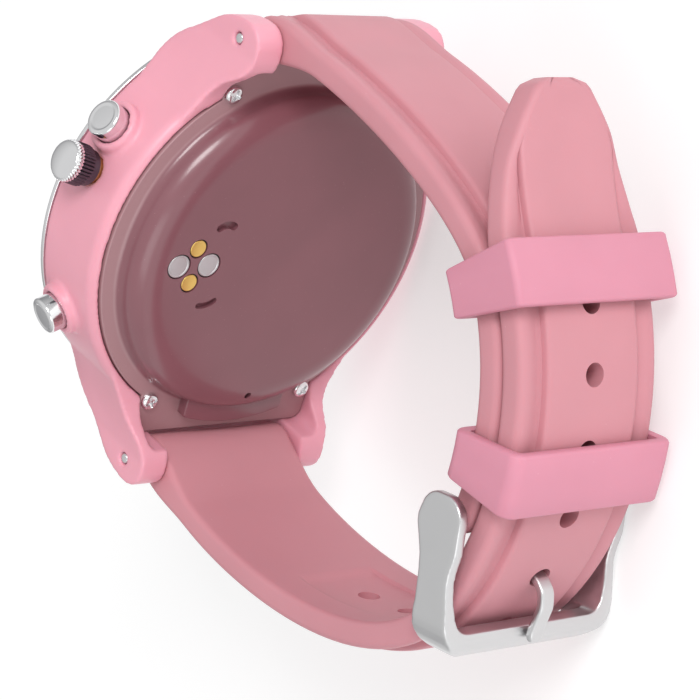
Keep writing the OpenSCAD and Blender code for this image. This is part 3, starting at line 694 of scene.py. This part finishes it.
# %% Screws
SCREW_X = TAB_HALF - 1.25
SCREW_Y = math.sqrt(FLANGE_R ** 2 - SCREW_X ** 2)
head_line = [(0, -0.62), (0.55, -0.61), (0.86, -0.55), (1.04, -0.42), (1.13, -0.22), (1.15, 0),
             (0.6, 0), (0.6, 5), (0, 5)]
screws = []
for sx, sy, angle in ((1, 1, 18), (-1, 1, 50), (1, -1, 66), (-1, -1, 35)):
    screw = lathe(head_line, 48)
    for half_x, half_y in ((0.78, 0.2), (0.2, 0.78)):
        screw = carve(screw, prism(rounded_box(half_x, half_y, 0.08, 2), -1.5, -0.1))
    screws.append(at((sx * SCREW_X, sy * SCREW_Y), bevel_sharp(screw, 0.03, 1, 60), angle))
finished("cover_screws", joined(*screws), HEAD, "watch", SCREW, ["back_screws"], 30)

# %% [markdown]
# ## Crown and pushers
# The crown's cap is polished and its knurl is dark, so it is two pieces with the same teeth. A
# tooth is one wave of the ring's radius, and the rings are skinned from the case outwards.

# %% Crown
CROWN_FOOT, CROWN_R, TOOTH, TEETH = CASE_R + 1.75, 2.5, 0.17, 36


def toothed(radius, height, depth=1.0):
    ring = []
    for k in range(TEETH * 4):
        wave = (0, 0.75, 1, 0.75)[k % 4]
        r, turned = radius - TOOTH * depth * (1 - wave), TURN * k / TEETH / 4
        ring.append(Vector((r * math.cos(turned), r * math.sin(turned), height)))
    return ring


knurl = skin([toothed(*step) for step in (
    (1.75, CROWN_FOOT - 1.18, 0), (CROWN_R - 0.35, CROWN_FOOT - 1.2, 0),
    (CROWN_R - 0.3, CROWN_FOOT - 0.35, 0),
    (CROWN_R - 0.08, CROWN_FOOT - 0.25, 0.8), (CROWN_R, CROWN_FOOT - 0.1),
    (CROWN_R, CROWN_FOOT + 1.55),
    (1.9, CROWN_FOOT + 1.56, 0))])
finished("crown_knurl", knurl, side_axis(CROWN_ANGLE), "crown", KNURL, crease=30)
cap_steps = [(1.9, CROWN_FOOT + 1.57, 0), (CROWN_R - 0.02, CROWN_FOOT + 1.57),
             (CROWN_R, CROWN_FOOT + 1.65),
             (CROWN_R, CROWN_FOOT + 2.1), (CROWN_R - 0.06, CROWN_FOOT + 2.25),
             (CROWN_R - 0.18, CROWN_FOOT + 2.36, 0.4)]
for k in range(1, 9):
    turn = math.radians(90 * k / 8)
    cap_steps.append(((CROWN_R - 0.24) * math.cos(turn) + 0.02,
                      CROWN_FOOT + 2.38 + 0.46 * math.sin(turn), 0))
cap = skin([toothed(*step) for step in cap_steps])
finished("crown_cap", cap, side_axis(CROWN_ANGLE), "crown", POLISHED, ["crown"],
         40)

# %% Pushers
CAP_R, CAP_FACE = 2.25, CASE_R + 3.0
cap_line = rounded([(0, CASE_R - 3.6, 0), (0.75, CASE_R - 3.6, 0.1), (0.75, CASE_R + 0.8, 0),
                    (CAP_R, CASE_R + 0.8, 0.1), (CAP_R, CAP_FACE - 0.12, 0.5),
                    (CAP_R * 0.78, CAP_FACE, 0.3),
                    (CAP_R * 0.66, CAP_FACE - 0.1, 0.4), (0, CAP_FACE - 0.02, 0)], 6, False)
for name, degrees in (("upper", UPPER_ANGLE), ("lower", LOWER_ANGLE)):
    finished(f"pusher_cap_{name}", lathe(cap_line, 96), side_axis(degrees), f"pusher_{name}",
             POLISHED, [f"pusher_{name}"], 40)

# %% [markdown]
# ## Bezel, crystal and lug pins
# These are turned parts, so each is half a section on the lathe. The bezel's edge breaks into a
# small facet and a round, which is what catches a thin bright line along the dial.

# %% Turned parts
bezel_line = rounded([(CASE_R - 2.1, CASE_H, 0.05), (CASE_R, CASE_H, 0.12),
                      (CASE_R, CASE_H + 0.55, 0.25),
                      (CASE_R - 0.6, CASE_H + 1.2, 0.3), (CASE_R - 2.1, CASE_H + 1.2, 0.15)], 4)
finished("bezel", lathe(bezel_line, 256, closed=True), HEAD, "watch", POLISHED,
         ["bezel_ring"])
GLASS_R = CASE_R - 2.15
glass_line = rounded([(0, CASE_H - 0.5, 0), (GLASS_R, CASE_H - 0.5, 0.1),
                      (GLASS_R, CASE_H + 1.0, 0.1),
                      (GLASS_R - 0.45, CASE_H + 1.2, 0.2), (0, CASE_H + 1.2, 0)], 4, False)
finished("crystal_lens", lathe(glass_line, 192), HEAD, "watch", GLASS, ["crystal"])
pin_line = rounded([(0, -LUG_OUT + 0.15, 0), (0.64, -LUG_OUT + 0.15, 0.25), (0.64, -9.9, 0),
                    (0.85, -9.9, 0.1),
                    (0.85, 9.9, 0.1), (0.64, 9.9, 0), (0.64, LUG_OUT - 0.15, 0.25),
                    (0, LUG_OUT - 0.15, 0)], 4, False)
for name, up in (("upper", 1), ("lower", -1)):
    place = ROW @ Matrix.Translation((PIN_AT.x, up * PIN_AT.y, 0))
    finished(f"spring_bar_{name}", lathe(pin_line, 48), place, "watch", PIN,
             [f"lug_pin_{name}"])

# %% [markdown]
# ## The band
# Each strap is swept along its own curve in the plane of the loop. A row of poses, each a point
# with a heading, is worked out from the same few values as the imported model: a free run from the
# lug, an arc round the closure, and for the long strap a straight and a bent tip.

# %% Paths of the straps
slide = next(j for j in frame["joints"] if j["name"] == "keeper_slide")
CLOSURE = Vector(slide["pos_m"][:2]) / MM
SHORT_R, TAIL_R = 31.0, 34.5
# Angles round the closure where the free runs join the arcs and where the long strap leaves
SHORT_JOINS, LONG_JOINS, TAIL_LEAVES = 42, -26, 42
# Past the arc: each stretch's length and how far it turns
TAIL_RUNS = ((1, 0), (15, -14), (4.3, 0))
PITCH = 0.6


def on_curve(radius, degrees):
    return CLOSURE + radius * Vector((math.cos(math.radians(degrees)),
                                      math.sin(math.radians(degrees))))


def way(degrees):
    return Vector((math.cos(math.radians(degrees)), math.sin(math.radians(degrees))))


def run(start, heading, end, end_heading, reach_a, reach_b, steps=40):
    """Points of a free stretch with a straight start and end."""
    a, b, c, d = start, start + reach_a * way(heading), end - reach_b * way(end_heading), end
    points = []
    for k in range(steps):
        t = k / steps
        near = (1 - t) ** 3 * a + 3 * t * (1 - t) ** 2 * b
        points.append(near + 3 * t * t * (1 - t) * c + t ** 3 * d)
    return points


def sampled(points, pitch):
    """The line's points again at an even pitch, each with its heading."""
    marks = [0.0]
    for a, b in zip(points, points[1:]):
        marks.append(marks[-1] + (b - a).length)
    count = round(marks[-1] / pitch)
    poses, i = [], 0
    for k in range(count + 1):
        s = marks[-1] * k / count
        while i < len(points) - 2 and marks[i + 1] < s:
            i += 1
        spot = points[i].lerp(points[i + 1], (s - marks[i]) / (marks[i + 1] - marks[i]))
        poses.append((s, spot))
    headings = [(poses[min(k + 1, count)][1] - poses[max(k - 1, 0)][1]).normalized()
                for k in range(count + 1)]
    return [(s, spot, heading) for (s, spot), heading in zip(poses, headings)]


lug_upper, lug_lower = Vector((PIN_AT.x, PIN_AT.y)), Vector((PIN_AT.x, -PIN_AT.y))
short_line = run(lug_upper, 23, on_curve(SHORT_R, SHORT_JOINS), SHORT_JOINS - 90, 8, 10)
short_line += [on_curve(SHORT_R, a) for a in range(SHORT_JOINS, -7, -1)]
long_line = run(lug_lower, -28, on_curve(TAIL_R, LONG_JOINS), LONG_JOINS + 90, 14, 16)
long_line += [on_curve(TAIL_R, a) for a in range(LONG_JOINS, TAIL_LEAVES + 1)]
heading, spot = TAIL_LEAVES + 90.0, on_curve(TAIL_R, TAIL_LEAVES)
for length, turn in TAIL_RUNS:
    for k in range(12):
        spot = spot + length / 12 * way(heading + turn * (k + 0.5) / 12)
        long_line.append(spot)
    heading += turn
short_poses, long_poses = sampled(short_line, PITCH), sampled(long_line, PITCH)
print("strap lengths in mm:", round(short_poses[-1][0], 1), round(long_poses[-1][0], 1))

# %% [markdown]
# The section of both straps is the same: a side wall, a round ridge, a shallow valley that ends in
# a crease, and a raised middle. It is written once as a ring of points, and its width and
# thickness change along the strap: thick round the lug pin, narrower at the closure, and cut to a
# blunt point at the tip, where the raised middle meets the cut.

# %% Section of a strap
HALF_W, TAIL_HALF, HALF_T, BARREL_R = 10.0, 9.9, 1.55, 2.6
RIB_HALF, RIB_T = 6.6, 0.6


def ease(value):
    value = min(1.0, max(0.0, value))
    return value * value * (3 - 2 * value)


def section(wide, thick, rib, pocket=0.0):
    """Half-width and outward height of the outline, from the outer middle to the inner one."""
    k = thick / HALF_T
    cut = ease((RIB_HALF + 1.9 - wide) / 1.9)
    top = thick + RIB_T * rib
    lip = thick + cut * RIB_T * rib
    dip = lip - 0.45 * (1 - cut) * rib
    foot = min(RIB_HALF, wide - 0.9)
    outer = [
        (0, top), (2.2, top), (foot - 0.7, top), (foot - 0.34, top - 0.05 * (1 - cut)),
        (foot - 0.1, top - 0.18 * (1 - cut)), (foot, top - 0.42 * (1 - cut)),
        (foot + 0.06, dip + 0.08 * (1 - cut)), (foot + 0.2, dip),
        (max(foot + 0.25, wide - 2.3), dip + 0.12 * (1 - cut)),
        (max(foot + 0.3, wide - 1.7), lip - 0.1 * (1 - cut)),
        (max(foot + 0.35, wide - 1.25), lip - 0.02),
        (wide - 0.8, lip), (wide - 0.5, lip - 0.06), (wide - 0.2, lip - 0.28),
        (wide - 0.04, lip - 0.6),
        (wide, lip - 0.95)]
    outer = [(min(z, wide - 0.8 + 0.002 * (i - 11)) if i < 11 else z, y) for i,
             (z, y) in enumerate(outer)]
    inner = [
        (wide, 0.75 * k - thick), (wide - 0.05, 0.4 * k - thick), (wide - 0.22, 0.14 * k - thick),
        (wide - 0.5, 0.03 - thick), (wide - 0.9, -thick), (5.7, -thick), (5.4, -thick),
        (5.3, 0.08 * pocket - thick),
        (5.15, 0.36 * pocket - thick), (4.85, 0.45 * pocket - thick), (1.5, 0.45 * pocket - thick),
        (0, 0.45 * pocket - thick)]
    inner = [(min(z, wide - 0.9 - 0.002 * (i - 4)) if 4 < i < 11 else z, y) for i,
             (z, y) in enumerate(inner)]
    return outer + inner


def strap_ring(pose, half, outward):
    """The section's ring at a pose of the path."""
    _, spot, heading = pose
    normal = Vector((-heading.y, heading.x)) * outward
    points = [(z, y) for z, y in half] + [(-z, y) for z, y in half[-2:0:-1]]
    ring = []
    for z, y in points:
        at_y = spot + normal * y
        ring.append(Vector((at_y.x, at_y.y, z)))
    return ring


def strap_half_w(pose):
    """Half the width at a pose, which narrows with the distance from the case."""
    return HALF_W + (TAIL_HALF - HALF_W) * ease((pose[1].x - PIN_AT.x - 4) / 36)


def barrel_rings(pose, outward, rib):
    """The round end about the lug pin."""
    rings = []
    for back in (2.58, 2.45, 2.2, 1.8, 1.3, 0.7):
        spot = pose[1] - pose[2] * back
        thick = math.sqrt(BARREL_R ** 2 - back ** 2)
        rings.append(strap_ring((0, spot, pose[2]), section(HALF_W - 0.12 * back, thick, 0.15),
                                outward))
    return rings


def thickness(s):
    return BARREL_R + (HALF_T - BARREL_R) * ease((s - 1) / 9)


# %% Short strap
BUCKLE_PIN = Vector(box_mm("buckle_pin")[0][:2]).lerp(Vector(box_mm("buckle_pin")[1][:2]), 0.5)
rings = barrel_rings(short_poses[0], 1, 0.2)
for pose in short_poses:
    rib = ease((pose[0] + 0.5) / 3) * ease((short_poses[-1][0] - 3 - pose[0]) / 4)
    rings.append(strap_ring(pose, section(strap_half_w(pose), thickness(pose[0]), rib), 1))
for past in (0.4, 0.8, 1.15, 1.4, 1.54):
    _, spot, heading = short_poses[-1]
    thick = math.sqrt(1.58 ** 2 - past ** 2)
    rings.append(strap_ring((0, spot + heading * past, heading),
                            section(TAIL_HALF - 0.1 * past, thick, 0), 1))
short = skin(rings)
slot = prism(rounded_box(4, 1.25, 0.3), -6, 2.4)
lean = Matrix.Rotation(math.radians(-6), 4, "Z") @ Matrix.Rotation(-math.pi / 2, 4, "X")
into = Matrix.Translation((*BUCKLE_PIN, 0)) @ lean
short = carve(short, moved(slot, into))
finished("strap_short", short, ROW, "watch", BAND, ["short_strap"], 42)

# %% Long strap
def tip_half_w(left):
    """Half the width that the cut of the tip allows at a distance from its end."""
    for (near, low), (far, high) in zip(TIP, TIP[1:]):
        if left <= far:
            return low + (high - low) * (left - near) / (far - near)
    return HALF_W


# The cut of the tip, as distances from its end and the half-widths there
TIP = ((0, 3.3), (3.5, 5.6), (5, 6.5), (8, 7.75), (12, 8.85), (17, 9.9))
TIP_ROUND, TIP_THIN, POCKET_FROM = 1.3, 0.45, 27.0
HOLE_R, HOLE_PITCH, HOLES = 1.3, 7.5, 9
length = long_poses[-1][0]
rings = barrel_rings(long_poses[0], -1, 0.2)
for pose in long_poses:
    left = length - pose[0]
    allowed = sum(tip_half_w(left + step) for step in (-1.5, -0.75, 0, 0.75, 1.5)) / 5
    wide = min(strap_half_w(pose), allowed)
    thick, rib = thickness(pose[0]), ease((pose[0] + 0.5) / 3)
    half = section(wide, thick, rib, ease((pose[0] - POCKET_FROM) / 1.2))
    if left < TIP_ROUND:
        inset = TIP_ROUND - math.sqrt(max(0.0, TIP_ROUND ** 2 - (TIP_ROUND - left) ** 2))
        middle = RIB_T * rib / 2
        flat = 1 - TIP_THIN * inset / thick
        half = [(z * (1 - inset / wide), middle + (y - middle) * flat) for z, y in half]
    rings.append(strap_ring(pose, half, -1))
long = skin(rings)
hole_now = next(p for p in long_poses if (p[1] - on_curve(TAIL_R, -14.3)).length < 0.31)
hole_poses = []
for k in range(HOLES):
    s = hole_now[0] + (k - HOLES // 2) * HOLE_PITCH
    hole_poses.append(min(long_poses, key=lambda p: abs(p[0] - s)))
for _, spot, heading in hole_poses:
    turned = Matrix.Rotation(math.atan2(heading.y, heading.x), 4,
                             "Z") @ Matrix.Rotation(math.pi / 2, 4, "X")
    long = carve(long, moved(cylinder(HOLE_R, -4, 4, 40), Matrix.Translation((*spot, 0)) @ turned))
finished("strap_long", long, ROW, "watch", BAND, ["long_strap"], 42)
print(len(hole_poses), "holes, pitch", HOLE_PITCH, "mm")

# %% [markdown]
# ## The keepers
# A keeper is a small moulded loop. It is skinned from rounded rectangles that turn about the
# closure's centre: outside from one rim to the other, then back along the inside, and the loop
# closes on itself. The rims shrink a little at each end, which rounds them.

# %% Keepers
KEEPER_L, KEEPER_WALL = 6.2, 1.3


def keeper(middle, clearance, corner):
    low, high = SHORT_R - HALF_T - clearance, TAIL_R + HALF_T + RIB_T + clearance
    centre, half_r = (low + high) / 2, (high - low) / 2
    half_z = TAIL_HALF + clearance
    sweep = math.degrees(KEEPER_L / (SHORT_R + TAIL_R))

    def ring(along, grow, radius):
        points = rounded_box(half_r + grow, half_z + grow, radius, 8)
        return [Vector((*on_curve(centre + p.x, middle + along * sweep), p.y)) for p in points]

    rows = []
    for along, drop in ((-1, 0.4), (-0.985, 0.22), (-0.955, 0.09), (-0.9, 0), (-0.3, 0), (0.3, 0),
                        (0.9, 0),
                        (0.955, 0.09), (0.985, 0.22), (1, 0.4)):
        rows.append(ring(along, KEEPER_WALL - drop, corner))
    for along, drop in ((1, 0.15), (0.97, 0), (0.3, 0), (-0.3, 0), (-0.97, 0), (-1, 0.15)):
        rows.append(ring(along, drop, 0.6))
    return skin(rows, looped=True)


finished("keeper_lower", keeper(7, 0.3, 1.6), ROW, "watch", KEEPER,
         ["keeper_fixed"], 50)
finished("keeper_upper", keeper(41, 0.4, 0.75), ROW, "keeper_free", KEEPER,
         ["keeper_free"], 50)

# %% [markdown]
# ## The buckle
# The frame is a cast U with paddle ends. Its side view and its plan are each a simple outline, and
# where their two prisms overlap is the rough casting. Melting and smoothing it gives the soft
# corners of a tumbled casting. The prong is a bent strip round an eye, made in the same way.

# %% Buckle frame
BUCKLE_L, ARM_IN, ARM_OUT, BUCKLE_TURN = 15.2, 10.4, 12.4, -75.5
turned = Matrix.Rotation(math.radians(BUCKLE_TURN), 4, "Z")
at_buckle = ROW @ Matrix.Translation((*BUCKLE_PIN, 0)) @ turned
lying = Matrix.Rotation(math.pi / 2, 4, "X")
side = rounded([
    (-3, -2.6, 2.5), (0.4, -3.95, 2.5), (4.4, -2.75, 8), (8.8, -2.65, 9), (12.6, -2.95, 4),
    (BUCKLE_L - 0.6, -2.6, 1.5), (BUCKLE_L, -0.8, 1.2),
    (BUCKLE_L, 1.2, 2), (BUCKLE_L - 1.6, 2.95, 1.6), (10, 2.5, 8), (6, 1.95, 6), (3, 2.8, 4),
    (-3, 3, 2.9)], 8)
bar_at = BUCKLE_L - 3.2
plan = rounded([
    (-4, ARM_OUT, 0), (BUCKLE_L, ARM_OUT, 4.6), (BUCKLE_L, -ARM_OUT, 4.6), (-4, -ARM_OUT, 0),
    (-4, 1.2 - ARM_OUT, 0), (8.5, 1.3 - ARM_OUT, 4), (bar_at, -ARM_IN, 2), (bar_at, ARM_IN, 2),
    (8.5, ARM_OUT - 1.3, 4), (-4, ARM_OUT - 1.2, 0)], 8)
buckle = carve(prism(side, -13, 13), moved(prism(plan, -5, 5), lying), "INTERSECT")
relief = [(10.5, 0.5), (bar_at, 0.5), (13.3, -1.1), (14.4, -1.35), (15.3, -3.9), (10.5, -3.9)]
buckle = carve(buckle, prism([Vector(p) for p in relief], -ARM_IN + 0.6, ARM_IN - 0.6))
buckle = carve(buckle, cylinder(0.85, 0.4 - ARM_OUT, ARM_OUT - 0.4))
finished("buckle_casting", melt(buckle, 0.16, 7), at_buckle, "buckle", BUCKLE,
         ["buckle_frame"], 70)

# %% Prong
bend = [(0.8, -0.2, 0), (4.3, -1.1, 0.8), (5, -0.3, 0.8), (6.8, 3.4, 1.6), (7.8, 4.4, 1.2),
        (9.4, 4.6, 1.5),
        (BUCKLE_L - 2.8, 3.62, 1), (BUCKLE_L - 1.5, 3.5, 0)]
spine = sampled(rounded(bend, 6, closed=False), 0.3)
rings = []
for s, spot, heading in spine:
    left = spine[-1][0] - s
    wide = 0.95 - 0.3 * (1 - min(1, left / 1.0)) ** 2
    normal = Vector((-heading.y, heading.x))
    outline = rounded_box(0.5 - 0.15 * (1 - min(1, left / 0.5)) ** 2, wide, 0.28, 3)
    rings.append([Vector((*(spot + normal * p.x), p.y)) for p in outline])
eye = rounded([(0.8, -0.95, 0.1), (1.5, -0.95, 0.2), (1.5, 0.95, 0.2), (0.8, 0.95, 0.1)], 2)
prong = melt(joined(skin(rings), lathe(eye, 48, closed=True)), 0.11, 4)
finished("prong_strip", prong, at_buckle, "prong", BUCKLE, ["buckle_prong"], 70)

# %% [markdown]
# ## Floor, light and camera
# The watch rests on its side on a pale floor, touching at the case and at the buckle, so the floor
# is tilted to pass through both. A soft key light from above and a weaker, wider fill give the
# shape, and a world that is pale above and grey below fills the rest.

# %% Stage
CASE_REST, BUCKLE_REST = Vector((-0.005, 0, -CASE_R * MM)), Vector((0.053, 0, -ARM_OUT * MM))
slope = math.atan2(BUCKLE_REST.z - CASE_REST.z, BUCKLE_REST.x - CASE_REST.x)
ground = bmesh.new()
bmesh.ops.create_grid(ground, x_segments=2, y_segments=2, size=2.5)
tilted = Matrix.Translation(CASE_REST - Vector((0, 0, 0.0001))) @ Matrix.Rotation(-slope, 4, "Y")
ground.transform(tilted)
mesh = bpy.data.meshes.new("floor")
ground.to_mesh(mesh)
ground.free()
paper = Finish("paper", (0.6, 0.6, 0.6), Roughness=0.7, Specular_IOR_Level=0.1,
               Emission_Strength=0.46)
paper.shader.inputs["Emission Color"].default_value = (1, 1, 1, 1)
mesh.materials.append(paper.material)
floor = bpy.data.objects.new("floor", mesh)
bpy.context.scene.collection.objects.link(floor)
floor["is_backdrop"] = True
print("floor tilted by", round(math.degrees(slope), 1), "degrees")

# %% Light
world = bpy.data.worlds.new("studio")
bpy.context.scene.world = world
world.use_nodes = True
sky = world.node_tree
where = sky.nodes.new("ShaderNodeTexCoord").outputs["Generated"]
height = sky.nodes.new("ShaderNodeVectorMath")
height.operation = "DOT_PRODUCT"
height.inputs[1].default_value = (0.3, 0, 0.95)
ramp = sky.nodes.new("ShaderNodeValToRGB")
ramp.color_ramp.elements[0].position, ramp.color_ramp.elements[0].color = 0.35, (0.42, 0.42, 0.43,
                                                                                 1)
ramp.color_ramp.elements[1].position, ramp.color_ramp.elements[1].color = 0.72, (1, 1, 1, 1)
shift = sky.nodes.new("ShaderNodeMath")
shift.operation = "MULTIPLY_ADD"
shift.inputs[1].default_value, shift.inputs[2].default_value = 0.5, 0.5
sky.links.new(where, height.inputs[0])
sky.links.new(height.outputs["Value"], shift.inputs[0])
sky.links.new(shift.outputs[0], ramp.inputs["Fac"])
sky.links.new(ramp.outputs["Color"], sky.nodes["Background"].inputs["Color"])
sky.nodes["Background"].inputs["Strength"].default_value = 0.78


def softbox(name, direction, distance, size, energy, target=Vector((0.015, 0, 0))):
    lamp = bpy.data.lights.new(name, "AREA")
    lamp.shape, lamp.size, lamp.size_y, lamp.energy = "RECTANGLE", size[0], size[1], energy
    obj = bpy.data.objects.new(name, lamp)
    back = Vector(direction).normalized()
    facing = back.to_track_quat("Z", "Y").to_matrix().to_4x4()
    obj.matrix_world = Matrix.Translation(target + back * distance) @ facing
    bpy.context.scene.collection.objects.link(obj)
    return obj


softbox("key", (0.4, 0.7, 0.6), 0.9, (0.34, 0.34), 4.3)
softbox("fill", (0.8, -0.25, 0.55), 1.0, (0.5, 0.5), 1.3)

# %% Camera
EYE, AIM = Vector((0.2203, 0.12214, 0.19774)), Vector((0.016012, -0.002987, 0.001009))
UP = Vector((-0.48135, 0.87471, -0.05646))
camera = bpy.data.objects.new("camera", bpy.data.cameras.new("camera"))
back = (EYE - AIM).normalized()
right = UP.cross(back).normalized()
rows = Matrix((right, back.cross(right), back)).transposed()
camera.matrix_world = Matrix.Translation(EYE) @ rows.to_4x4()
camera.data.lens, camera.data.sensor_width = 139.275, 36
camera.data.clip_start, camera.data.clip_end = 0.01, 20
bpy.context.scene.collection.objects.link(camera)
bpy.context.scene.camera = camera
bpy.context.scene.view_settings.view_transform = "Standard"

# %% [markdown]
# ## Closing
# The imported model's box and the box of the finished shapes are both printed, to compare. The
# finished shapes have to stay inside the imported model's box.

# %% Sizes of both boxes
new_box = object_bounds()
for name, box in (("packed", cad_box), ("visual", new_box)):
    print(name, [[round(c / MM, 2) for c in corner] for corner in box])
